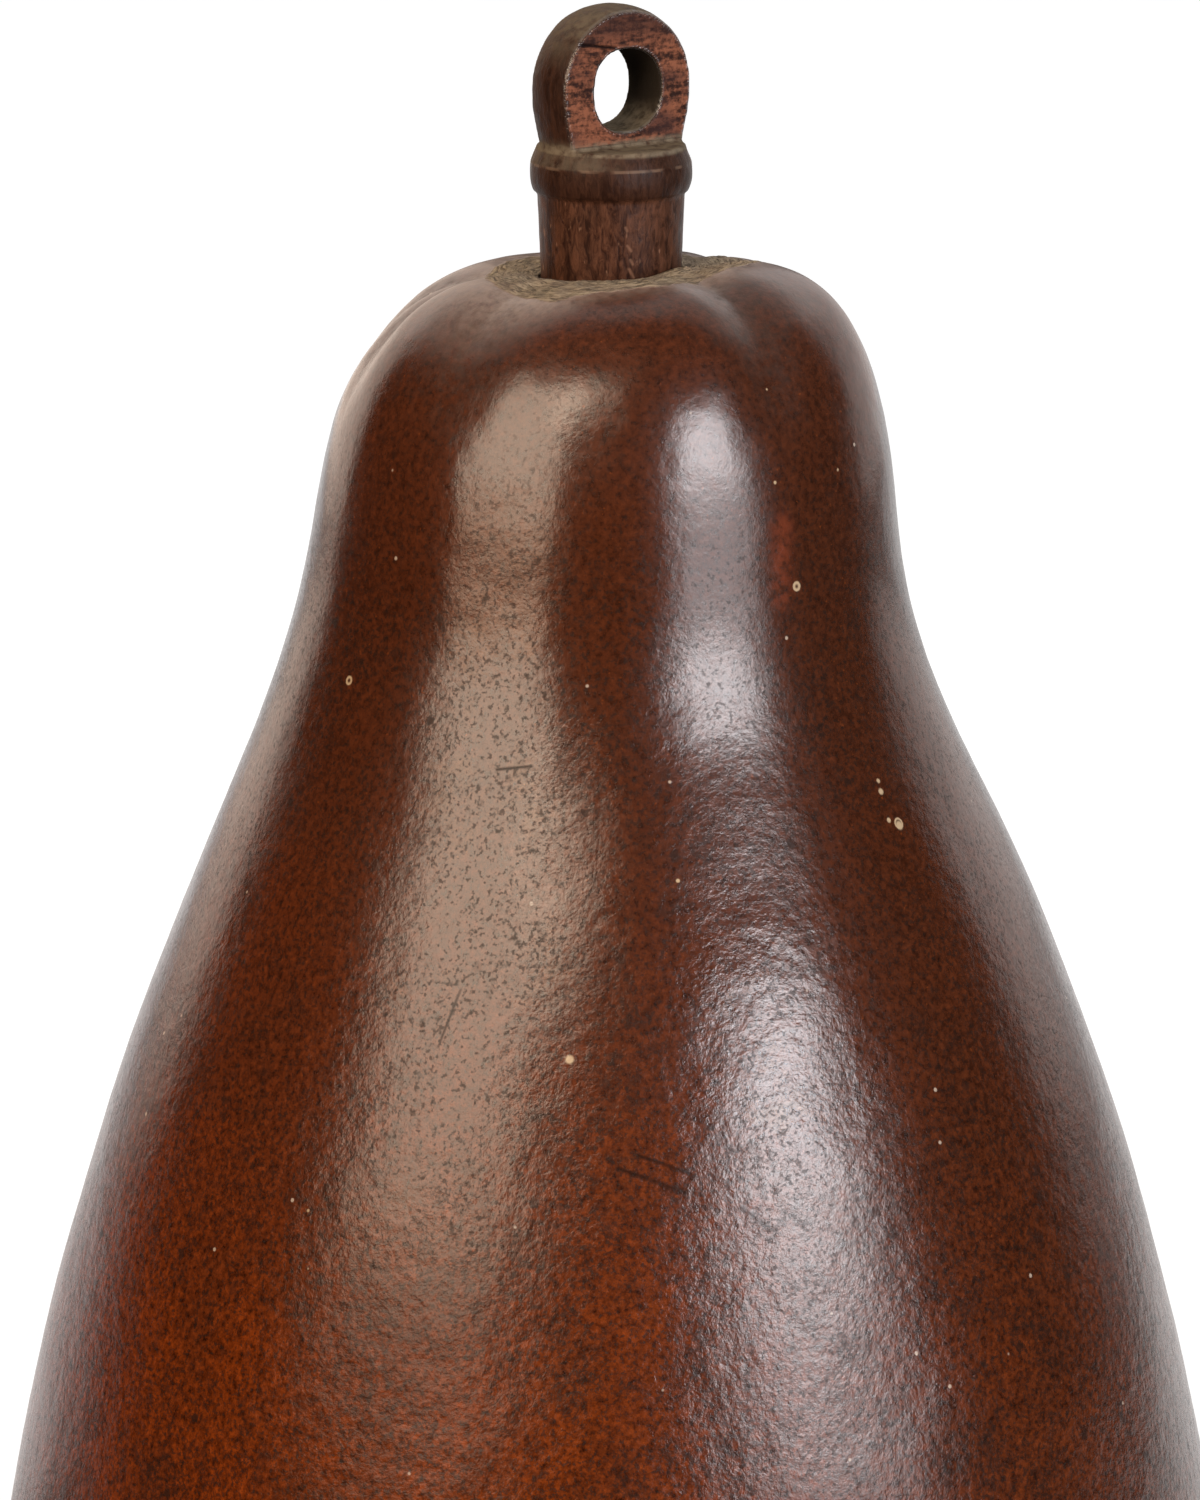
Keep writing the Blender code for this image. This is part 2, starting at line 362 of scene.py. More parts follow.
def lobe_rise(angle, radius):
    """How far the crown's skin stands out, and how deep in a valley it lies, 0 to 1."""
    starts = np.array([valley[0] for valley in CROWN_VALLEYS])
    lobes = np.array([valley[3] for valley in CROWN_VALLEYS])
    i = (np.searchsorted(starts, angle, side="right") - 1) % len(starts)
    span = (starts[(i + 1) % len(starts)] - starts[i]) % 360.0
    across = 2.0 * ((angle - starts[i]) % 360.0) / span - 1.0
    rise = lobes[i] * (1.0 - across * across)
    width = VALLEY_WIDTH_BASE + VALLEY_WIDTH_SHARE * radius
    sunk = np.zeros_like(rise)
    for start, depth, breadth, _ in CROWN_VALLEYS:
        apart = np.radians((angle - start + 180.0) % 360.0 - 180.0)
        near = np.exp(-((apart * radius / (breadth * width)) ** 2))
        rise -= depth * near
        if depth > 0.0:
            sunk = np.maximum(sunk, near)
    return rise, sunk


def dry_disc(angle, radius, height):
    """How much of the dry disc, and how much of the dust and painted sheen round it, lies here, 0 to
    1.
    """
    angles, radii, widths = zip(*DISC_EDGE)
    beyond = radius - np.interp(angle, angles, radii)
    above = smooth_step(CROWN_LEVEL - 10.0, CROWN_LEVEL - 4.0, height)
    dust = smooth_step(np.interp(angle, angles, widths), -1.0, beyond)
    return smooth_step(1.2, -1.2, beyond) * above, dust * above


def grow(mesh, settings):
    """Moves the turned wall to the shape that the gourd grew into, and marks its disc and valleys."""
    front = np.array([math.cos(math.radians(FRONT)), math.sin(math.radians(FRONT)), 0.0])
    left = np.array([front[1], -front[0], 0.0])
    places = read_places(mesh)
    normals = read_normals(mesh)
    middle = np.array([0.0, 0.0, 0.5 * SKIN_OUTLINE[-1][1] * MM])
    outside = ((places - middle) * normals).sum(axis=1) > 0.0
    radius = np.hypot(places[:, 0], places[:, 1]) / MM
    height = places[:, 2] / MM
    angle = from_front(places)
    flat = places * np.array([1.0, 1.0, 0.0])

    grown = places.copy()
    oval = OVALNESS * np.sin(2.0 * np.radians(angle)) * smooth_step(0.0, OVAL_FROM, height)
    grown += flat * oval[:, None]
    share = np.clip((height - NECK_SWAY_FROM) / (NECK_SWAY_TO - NECK_SWAY_FROM), 0.0, 1.0)
    grown += left * (NECK_SWAY * MM * np.sin(math.pi * share) ** 2)[:, None]

    rise, sunk = lobe_rise(angle, radius)
    lobed = smooth_step(LOBE_FADE_TO, LOBE_FADE_FROM, height) * (radius > LOBE_INNER_EDGE)
    lobed = lobed * smooth_step(LOBE_INNER_EDGE, LOBE_CREST, radius) * outside
    grown += normals * (rise * lobed * MM)[:, None]
    lean = flat @ (CROWN_LEAN_LEFT * left - CROWN_LEAN_BACK * front)
    grown[:, 2] -= lean * smooth_step(CROWN_STARTS, CROWN_LEVEL, height) * outside

    lip = np.exp(-(((angle - LIP_ANGLE) / LIP_SPREAD) ** 2)) * smooth_step(*LIP_RADII, radius)
    lip = lip * smooth_step(CROWN_LEVEL - 2.0, CROWN_LEVEL + 1.0, height)
    grown[:, 2] += lip * LIP_RISE * MM
    outward = flat / np.maximum(np.linalg.norm(flat, axis=1), 0.1 * MM)[:, None]
    grown += outward * (lip * LIP_GAP * MM)[:, None]

    disc, dust = dry_disc(angle, radius, height)
    disc = disc * outside
    off_mouth = np.where(height > CROWN_STARTS, smooth_step(*UNEVEN_SETS_IN, radius), 1.0)
    free = outside * smooth_step(0.0, 6.0, height) * off_mouth
    uneven = lumps(places, SWELL_LUMPS) * settings.swell
    uneven = uneven + lumps(places, RIPPLE_LUMPS, RIPPLE_STRETCH) * settings.ripple * (1.0 - disc)
    grown += normals * (free * uneven)[:, None]
    bark = disc * smooth_step(*BARK_SETS_IN, radius) * lumps(places, BARK_LUMPS)
    grown += normals * (bark * settings.bark_relief)[:, None]
    write_places(mesh, grown)
    write_attribute(mesh, "disc", disc)
    # The dust round the disc also carries a painted sheen on the crown's left shoulder.
    write_attribute(mesh, "dust", dust * outside)
    write_attribute(mesh, "valley", sunk * lobed)


# The stopper


def stopper_profile():
    rise = math.pi / 2.0 * np.linspace(1.0, 0.0, DOME_ROWS)
    dome = [(HEAD_RADIUS * math.cos(a), HEAD_CENTRE + HEAD_RADIUS * math.sin(a)) for a in rise]
    dome[0] = (0.0, HEAD_CENTRE + HEAD_RADIUS)
    head_side = [dome[-1], *reversed(HEAD_SIDE_OUTLINE), WAIST]
    side = spline_through(head_side, np.linspace(0.0, arc_length(head_side), HEAD_ROWS))
    collar_rows = np.linspace(0.0, arc_length(COLLAR_OUTLINE), COLLAR_ROWS)
    collar = spline_through(COLLAR_OUTLINE[::-1], collar_rows)
    shank_end = PLUG_FOOT + PLUG_FOOT_CHAMFER
    plug = [
        (PLUG_TOP_RADIUS, PLUG_TOP),
        (plug_radius(shank_end), shank_end),
        (plug_radius(shank_end) - PLUG_FOOT_CHAMFER, PLUG_FOOT),
        (0.0, PLUG_FOOT),
    ]
    return [*dome[:-1], *side, COLLAR_SHOULDER, *collar, *plug]


def saw_block(name, side):
    middle = side * 0.5 * (HEAD_THICKNESS + CUTTER_SIZE)
    height = FLAT_CUT_BOTTOM + 0.5 * CUTTER_SIZE
    bpy.ops.mesh.primitive_cube_add(
        size=CUTTER_SIZE * MM, location=(0.0, middle * MM, height * MM)
    )
    bpy.context.object.name = name
    return bpy.context.object


def eye_drill():
    """The drill for the eye: not quite round, as a knife left it."""
    bpy.ops.mesh.primitive_cylinder_add(vertices=72, radius=1.0, depth=CUTTER_SIZE * MM)
    drill = bpy.context.object
    drill.name = "eye_drill"
    places = read_places(drill.data)
    angle = np.arctan2(places[:, 1], places[:, 0])
    uneven = 0.022 * np.cos(4.0 * angle + math.pi) + 0.012 * np.cos(3.0 * angle)
    radius = EYE_RADIUS * (1.0 + uneven) * MM
    turned = np.stack(
        [radius * np.cos(angle), places[:, 2], radius * np.sin(angle) + EYE_CENTRE * MM], axis=1
    )
    write_places(drill.data, turned)
    drill.data.flip_normals()
    return drill


def carve(blank, cutters):
    for cutter in cutters:
        cut = blank.modifiers.new("Cut " + cutter.name, "BOOLEAN")
        cut.operation = "DIFFERENCE"
        cut.object = cutter
    carved = evaluated_mesh(blank, "stopper_carved")
    for cutter in cutters:
        bpy.data.objects.remove(cutter)
    bpy.data.objects.remove(blank)
    return carved


def refine(mesh, settings):
    """An even fine mesh with worn edges."""
    rough = link_object("stopper_rough", mesh)
    remesh = rough.modifiers.new("Even mesh", "REMESH")
    remesh.mode = "VOXEL"
    remesh.voxel_size = settings.voxel
    wear = rough.modifiers.new("Wear", "SMOOTH")
    wear.factor = 0.5
    wear.iterations = settings.wear_rounds
    fine = evaluated_mesh(rough, "carved_stopper")
    bpy.data.objects.remove(rough)
    return fine


def mark_with_knife(mesh, settings):
    """Shallow facets from the knife, and saw marks across the flats."""
    places = read_places(mesh)
    normals = read_normals(mesh)
    height = places[:, 2] / MM
    above_seat = smooth_step(*KNIFE_STARTS, height)
    facets = lumps(places, FACET_LUMPS)
    tilt = np.abs(normals[:, 1])
    above_cut = height > FLAT_CUT_BOTTOM + 0.5
    flats = smooth_step(0.88, 0.96, tilt) * above_cut
    saw = lumps(places, SAW_LUMPS, SAW_STRETCH)
    marks = facets * (1.0 - 0.5 * flats) + 0.45 * saw * flats
    depth = above_seat * settings.knife_relief * marks
    write_places(mesh, places + normals * depth[:, None])
    write_attribute(mesh, "flats", flats)
    edges = smooth_step(0.3, 0.5, tilt) * smooth_step(0.993, 0.98, tilt)
    write_attribute(mesh, "edges", edges * above_cut)


# Shader nodes


def is_socket(value):
    return isinstance(value, bpy.types.NodeSocket)


def source(tree, kind, **settings):
    """A new node that nothing feeds."""
    node = tree.nodes.new(kind)
    for name, value in settings.items():
        setattr(node, name, value)
    return node


def add_node(kind, inputs, **settings):
    """A new node, in the tree of its inputs. Each input is a value or the socket that feeds it."""
    tree = next(value.id_data for value in inputs.values() if is_socket(value))
    node = source(tree, kind, **settings)
    for name, value in inputs.items():
        if is_socket(value):
            tree.links.new(value, node.inputs[name])
        else:
            node.inputs[name].default_value = value
    return node


def calculate(operation, first, second=0.0, third=0.0):
    inputs = {0: first, 1: second, 2: third}
    return add_node("ShaderNodeMath", inputs, operation=operation).outputs[0]


def product(found, *others):
    for other in others:
        found = calculate("MULTIPLY", found, other)
    return found


def largest(values):
    found = values[0]
    for value in values[1:]:
        found = calculate("MAXIMUM", found, value)
    return found


def off_middle(value):
    return calculate("SUBTRACT", value, 0.5)


def measure(operation, first, second=(0.0, 0.0, 0.0)):
    """A number from two vectors, such as their distance or their dot product."""
    inputs = {0: first, 1: second}
    return add_node("ShaderNodeVectorMath", inputs, operation=operation).outputs["Value"]


def ease(value, low, high, start=0.0, end=1.0):
    """Start up to low, end from high, and smooth between them. Low may be the larger one."""
    if low > high:
        low, high, start, end = high, low, end, start
    inputs = {"Value": value, "From Min": low, "From Max": high, "To Min": start, "To Max": end}
    node = add_node("ShaderNodeMapRange", inputs, interpolation_type="SMOOTHSTEP")
    return node.outputs["Result"]


def over_span(value, span, start=0.0, end=1.0):
    """Start at the first end of a span in millimetres, end at the other."""
    return ease(value, span[0] * MM, span[1] * MM, start, end)


def band(height, limits):
    """1 between the middle two of four limits in millimetres, 0 outside the outer two."""
    return product(over_span(height, limits[:2]), over_span(height, limits[:1:-1]))


def grain(place, name):
    """The noise of this name at this place."""
    inputs = dict(zip(("Scale", "Detail", "Roughness", "Distortion"), NOISES[name]))
    return add_node("ShaderNodeTexNoise", {"Vector": place, **inputs}).outputs["Fac"]


def grain_range(place, name, low, high, start=0.0, end=1.0):
    return ease(grain(place, name), low, high, start, end)


def stretch(place, scale):
    return add_node("ShaderNodeMapping", {"Vector": place, "Scale": scale}).outputs["Vector"]


def spots(place, scale):
    """How far the middle of the nearest of many scattered spots is, and that spot's chance."""
    cells = add_node("ShaderNodeTexVoronoi", {"Vector": place, "Scale": scale})
    parts = add_node("ShaderNodeSeparateColor", {0: cells.outputs["Color"]})
    return cells.outputs["Distance"], parts.outputs[0]


def mix_colours(share, first, second, blend="MIX"):
    first, second = (value if is_socket(value) else (*value, 1.0) for value in (first, second))
    inputs = {0: share, 6: first, 7: second}
    settings = {"data_type": "RGBA", "blend_type": blend, "clamp_factor": True}
    return add_node("ShaderNodeMix", inputs, **settings).outputs[2]


def mix_values(share, first, second):
    inputs = {0: share, 2: first, 3: second}
    return add_node("ShaderNodeMix", inputs, data_type="FLOAT").outputs[0]


def paint(base, share, strength, colour):
    """The base with this much of another colour over it where share is 1."""
    return mix_colours(product(share, strength), base, colour)


def soft_above(value, limit):
    """0 below the limit, 1 well above it."""
    return ease(calculate("SUBTRACT", value, limit), -0.03, 0.1)


def relief(layers):
    """The normal from layers of relief, each a height and its depth in millimetres."""
    normal = None
    for height, depth in layers:
        inputs = {"Height": height, "Distance": depth * MM, "Strength": 1.0}
        if normal:
            inputs["Normal"] = normal
        normal = add_node("ShaderNodeBump", inputs).outputs["Normal"]
    return normal


def attribute(tree, name):
    return source(tree, "ShaderNodeAttribute", attribute_name=name).outputs["Fac"]


def new_material(name):
    """A new material, its tree and the place of each point of the surface."""
    material = bpy.data.materials.new(name)
    material.use_nodes = True
    tree = material.node_tree
    return material, tree, source(tree, "ShaderNodeTexCoord").outputs["Object"]


def connect(tree, colour, rough, shine, normal):
    shader = tree.nodes["Principled BSDF"]
    tree.links.new(colour, shader.inputs["Base Color"])
    tree.links.new(rough, shader.inputs["Roughness"])
    tree.links.new(shine, shader.inputs["Specular IOR Level"])
    tree.links.new(normal, shader.inputs["Normal"])
    shader.inputs["IOR"].default_value = 1.5


def turned_point(angle, radius, height):
    """A point in metres from a compass angle, and a radius and a height in millimetres."""
    turned = math.radians(angle + FRONT)
    return Vector((radius * math.cos(turned), radius * math.sin(turned), height)) * MM


def skin_point(angle, height):
    radii, heights = zip(*SKIN_OUTLINE)
    return turned_point(angle, float(np.interp(height, heights, radii)), height)


def plug_point(angle, height):
    return turned_point(angle, plug_radius(height), height)


def near_point(place, point, radius, soft):
    """1 within this radius of the point, 0 from soft further away."""
    return ease(measure("DISTANCE", place, tuple(point)), radius + soft, radius)


def chip_ring(place, point, radius):
    """1 on a ring of this outer radius round the point, 0 inside and outside it."""
    outer = near_point(place, point, 0.8 * radius, 0.2 * radius)
    inner = near_point(place, point, 0.5 * radius, 0.2 * radius)
    return calculate("SUBTRACT", outer, inner)


def near_line(place, start, end, width):
    """1 on the line from start to end, 0 from this far away."""
    half = 0.5 * (end - start).length
    unit = tuple((end - start).normalized())
    middle = tuple(0.5 * (start + end))
    inputs = {0: place, 1: middle}
    offset = add_node("ShaderNodeVectorMath", inputs, operation="SUBTRACT").outputs[0]
    reach = measure("DOT_PRODUCT", offset, unit)
    inside = calculate("MINIMUM", calculate("ABSOLUTE", reach), half)
    signed = product(inside, calculate("SIGN", reach))
    inputs = {0: unit, "Scale": signed}
    on_line = add_node("ShaderNodeVectorMath", inputs, operation="SCALE").outputs[0]
    return ease(measure("DISTANCE", offset, on_line), width, 0.0)


# Finishes

# Noises: scale for each metre, detail, roughness and distortion.
NOISES = {
    "drift": (22.0, 3.0),
    "cloud": (95.0, 4.0, 0.6),
    "mottle": (1100.0, 4.0, 0.7),
    "ember": (1500.0, 2.0),
    "stain": (330.0, 5.0, 0.68),
    "fleck_patch": (120.0, 3.0, 0.6),
    "speck": (1950.0, 2.0, 0.55),
    "medium": (980.0, 4.0, 0.66),
    "coarse": (470.0, 5.0, 0.74, 0.2),
    "track": (300.0, 4.0, 0.7, 0.5),
    "track_patch": (210.0, 2.0),
    "blot_edge": (1300.0, 3.0, 0.7),
    "smudge": (700.0, 5.0, 0.7),
    "dust_and_sheen": (800.0, 5.0, 0.7),
    "bark_fibre": (2000.0, 4.0, 0.65, 0.9),
    "bark_patch": (300.0, 4.0, 0.65),
    "rust": (900.0, 3.0),
    "sheen": (60.0, 3.0),
    "leather": (340.0, 5.0, 0.68),
    "wrinkle": (850.0, 5.0, 0.68, 0.3),
    "fine": (1900.0, 3.0, 0.6),
    "wood_fibre": (1500.0, 4.0, 0.7, 0.8),
    "wood_streak": (620.0, 3.0, 0.6, 0.4),
    "saw": (700.0, 4.0, 0.65, 0.3),
    "crumb": (1700.0, 3.0, 0.65),
    "umber": (190.0, 3.0),
    "pores": (1250.0, 2.0, 0.5),
    "wood_dust": (900.0, 4.0, 0.6),
    "rim_wear_and_highlight": (400.0, 3.0),
}

# Heights over which a part of the rind's finish sets in, from none to full.
BELLY_TO_NECK = (100.0, 200.0)
LOW_BELLY = (200.0, 120.0)
HANDLED_BELLY = (155.0, 122.0)
NECK = (170.0, 205.0)
WORN_CROWN = (230.0, 240.0)
FULL_FLECKS = (232.0, 205.0)
FULL_LEATHER = (205.0, 115.0)
FULL_WRINKLES = (226.0, 190.0)

# Distances to the right of the middle over which a part sets in.
PAINTED_SHADE_RIGHT = (-28.0, 45.0)
WORN_RIGHT = (0.0, 12.0)
HANDLED_LEFT = (8.0, -4.0)

# Bands of height, each from none to full and back to none.
WAIST_BAND = (165.0, 188.0, 200.0, 225.0)
JOINT_BAND = (256.6, 257.1, 257.7, 258.6)
SHOULDER_BAND = (255.2, 255.5, 257.5, 259.2)
RIM_BAND = (255.05, 255.2, 255.35, 255.55)

# Spans of the stopper: stain above the plug and on the head's top, dust on the head and at its left.
STAINED = (PLUG_TOP, PLUG_TOP + 0.4)
STAINED_TOP = (268.5, 272.0)
DUSTY_HEAD = (262.0, 268.0)
DUSTY_LEFT = (-3.0, -8.0)

STAIN_COLOUR = (0.02, 0.0085, 0.0055)
# Pale dust, partly a painted sheen on the crown's left shoulder.
SMUDGE_COLOUR = (0.033, 0.021, 0.0155)
DUST_AND_SHEEN_COLOUR = (0.215, 0.16, 0.13)
DARK_FIBRE = (0.06, 0.047, 0.034)
BARK_SHADE = (0.16, 0.12, 0.095)
RUST_COLOUR = (0.12, 0.026, 0.01)
PALE_MARK = (0.42, 0.32, 0.2)
LINT_COLOUR = (0.4, 0.33, 0.26)
WOOD_STAIN = (0.0125, 0.0048, 0.0027)
DARK_SAWN = (0.02, 0.009, 0.007)
UMBER = (0.035, 0.017, 0.016)
TOP_STAIN = (0.024, 0.012, 0.011)
PORE_COLOUR = (0.26, 0.14, 0.085)
CRACK_COLOUR = (0.006, 0.003, 0.003)
EYE_COLOUR = (0.024, 0.0205, 0.016)
# Partly wear, partly a painted highlight on the collar's rim.
RIM_WEAR_AND_HIGHLIGHT_COLOUR = (0.2, 0.13, 0.085)
BLOT_SCALE = 150.0
LINT_SCALE = 210.0
BARK_TURN_SCALE = 0.0035

# Specks of pale dirt and small chips: (angle, height, radius in millimetres).
PALE_SPECKS = (
    (-44.2, 197.7, 0.22), (47.7, 186.4, 0.3), (47.5, 185.2, 0.4), (47.1, 182.0, 0.32),
    (49.0, 181.2, 0.55), (9.6, 178.2, 0.25), (-5.1, 159.1, 0.5), (42.2, 153.7, 0.35),
    (49.7, 133.4, 0.35), (45.3, 239.9, 0.35), (47.2, 239.6, 0.4), (46.7, 235.1, 0.3),
    (18.9, 239.3, 0.25), (34.7, 221.6, 0.22), (53.0, 221.8, 0.22), (44.9, 213.5, 0.2),
    (37.2, 231.9, 0.2), (-35.3, 140.1, 0.25), (-34.0, 133.8, 0.22), (-128.0, 162.0, 0.4),
    (150.0, 118.0, 0.45), (104.0, 190.0, 0.3),
)
SPECK_CORE = 0.6
SPECK_SOFT = 0.7

# Rings left by small chips: (angle, height, outer radius).
CHIP_RINGS = ((-52.7, 197.2, 0.75), (38.1, 209.4, 0.8), (49.0, 181.4, 0.8))

# Pale hairs: (angle, height) of one end, then of the other.
PALE_HAIRS = (
    (38.2, 210.0, 38.5, 211.7), (53.2, 144.1, 54.5, 140.5), (52.2, 160.0, 53.0, 158.9),
    (39.4, 157.2, 40.2, 156.1), (43.4, 147.4, 44.1, 146.0), (-29.5, 120.4, -27.8, 120.7),
)
HAIR_WIDTH = 0.28

# A rust-coloured smear: both ends and its width.
SMEAR = (35.4, 216.5, 34.2, 208.6, 2.6)

# The crack in the front flat, from its left edge to the eye: places in millimetres.
CRACK = ((-8.2, -3.35, 270.1), (-5.0, -3.35, 269.7), (-1.8, -3.35, 269.2))
CRACK_WIDTH = 0.34

# Long pores in the plug: (angle, height) of one end, then of the other.
LONG_PORES = (
    (13.0, 246.4, 16.0, 245.8), (15.5, 244.7, 17.5, 244.2), (14.5, 243.6, 18.5, 242.6),
    (11.5, 248.6, 12.5, 248.2),
)
PORE_WIDTH = 0.3

# Fine scratches: (angle, height) of one end, then of the other, then the width in millimetres.
SCRATCHES = (
    (0.8, 147.4, 8.2, 144.6, 0.35), (3.0, 148.8, 8.8, 146.7, 0.3),
    (14.4, 142.6, 17.5, 140.1, 0.4), (-18.9, 189.9, -13.1, 190.5, 0.22),
    (-19.9, 166.0, -21.8, 159.7, 0.22), (-23.8, 166.6, -20.4, 166.5, 0.2),
    (60.2, 133.4, 62.8, 123.7, 0.28), (62.8, 123.7, 62.6, 112.0, 0.28),
    (-95.0, 120.0, -90.5, 131.0, 0.3), (160.0, 96.0, 168.0, 101.0, 0.3),
)
SCRATCH_SOFT = 1.6


def skin_ground(place, height, rightwards, low, settings):
    """Orange low on the belly, darker and redder on the neck, darker and redder with painted shade on
    the right side, and mottled.
    """
    drift = grain(place, "drift")
    lowered = calculate("SUBTRACT", height, 40.0 * MM)
    raised = calculate("MULTIPLY_ADD", drift, 80.0 * MM, lowered)
    reddened = over_span(raised, BELLY_TO_NECK)
    base = mix_colours(reddened, settings.belly_colour, settings.neck_colour)
    cloud = grain_range(place, "cloud", 0.4, 0.7, 0.0, 0.5)
    base = mix_colours(cloud, base, settings.neck_colour)
    # Painted shade: the skin's colour darkens towards its right side.
    shifted = calculate("MULTIPLY_ADD", drift, 20.0 * MM, rightwards)
    base = paint(base, over_span(shifted, PAINTED_SHADE_RIGHT), 0.55, settings.painted_shade_colour)
    mottle = off_middle(grain(place, "mottle"))
    contrast = calculate("MULTIPLY_ADD", low, 1.3, 3.0)
    bright = calculate("MULTIPLY_ADD", mottle, contrast, 1.0)
    bright = calculate("MAXIMUM", bright, 0.2)
    shade = add_node("ShaderNodeCombineColor", {0: bright, 1: bright, 2: bright}).outputs[0]
    base = mix_colours(1.0, base, shade, "MULTIPLY")
    base = paint(base, grain_range(place, "ember", 0.7, 0.76), 0.3, settings.ember_colour)
    stain = grain_range(place, "stain", 0.54, 0.7, 0.0, 0.5)
    return mix_colours(stain, base, STAIN_COLOUR)


def dark_flecks(place, height, low):
    """Fine specks all over, larger flecks and branching tracks low on the belly and at the waist."""
    busy = largest([low, band(height, WAIST_BAND)])
    limit = calculate("MULTIPLY_ADD", grain(place, "fleck_patch"), -0.19, 0.672)
    limit = calculate("MULTIPLY_ADD", busy, -0.02, limit)
    medium_limit = calculate("ADD", limit, 0.035)
    coarse_limit = calculate("MULTIPLY_ADD", low, -0.045, calculate("ADD", limit, 0.085))
    ridge = calculate("ABSOLUTE", off_middle(grain(place, "track")))
    track_patch = grain_range(place, "track_patch", 0.5, 0.62)
    away, chance = spots(place, BLOT_SCALE)
    ragged = calculate("MULTIPLY_ADD", grain(place, "blot_edge"), 0.22, away)
    blot = product(ease(ragged, 0.23, 0.19), ease(chance, 0.3, 0.35))
    flecks = [
        product(busy, 0.85, blot),
        product(soft_above(grain(place, "speck"), limit), 0.75),
        product(soft_above(grain(place, "medium"), medium_limit), 0.85),
        product(soft_above(grain(place, "coarse"), coarse_limit), 0.9),
        product(track_patch, low, ease(ridge, 0.03, 0.004), 0.8),
    ]
    return product(largest(flecks), over_span(height, FULL_FLECKS, 0.45, 1.0))


def dry_bark(place, disc, settings):
    """Where the bark lies round the mouth, its fibres and its colour."""
    split = add_node("ShaderNodeSeparateXYZ", {0: place})
    inputs = {0: split.outputs["X"], 1: split.outputs["Y"], 2: 0.0}
    radius = measure("LENGTH", add_node("ShaderNodeCombineXYZ", inputs).outputs[0])
    turned = calculate("ARCTAN2", split.outputs["Y"], split.outputs["X"])
    inputs = {0: radius, 1: product(turned, BARK_TURN_SCALE), 2: split.outputs["Z"]}
    fibre = grain(add_node("ShaderNodeCombineXYZ", inputs).outputs[0], "bark_fibre")
    patch = grain(place, "bark_patch")
    edge = calculate("ADD", off_middle(patch), disc)
    colour = mix_colours(ease(fibre, 0.34, 0.62), DARK_FIBRE, settings.bark_colour)
    shaded = mix_colours(0.5, colour, BARK_SHADE)
    colour = mix_colours(ease(patch, 0.35, 0.7), colour, shaded)
    return ease(edge, 0.28, 0.6), fibre, colour


def skin_line(place, ends, width):
    """1 on a line over the skin, from one (angle, height) to the other, 0 from this far away."""
    return near_line(place, skin_point(*ends[:2]), skin_point(*ends[2:4]), width * MM)


def pale_marks(place):
    marks = [skin_line(place, hair, HAIR_WIDTH) for hair in PALE_HAIRS]
    for angle, height, radius in PALE_SPECKS:
        core = SPECK_CORE * radius * MM
        marks.append(near_point(place, skin_point(angle, height), core, SPECK_SOFT * radius * MM))
    for angle, height, radius in CHIP_RINGS:
        marks.append(chip_ring(place, skin_point(angle, height), radius * MM))
    return largest(marks)


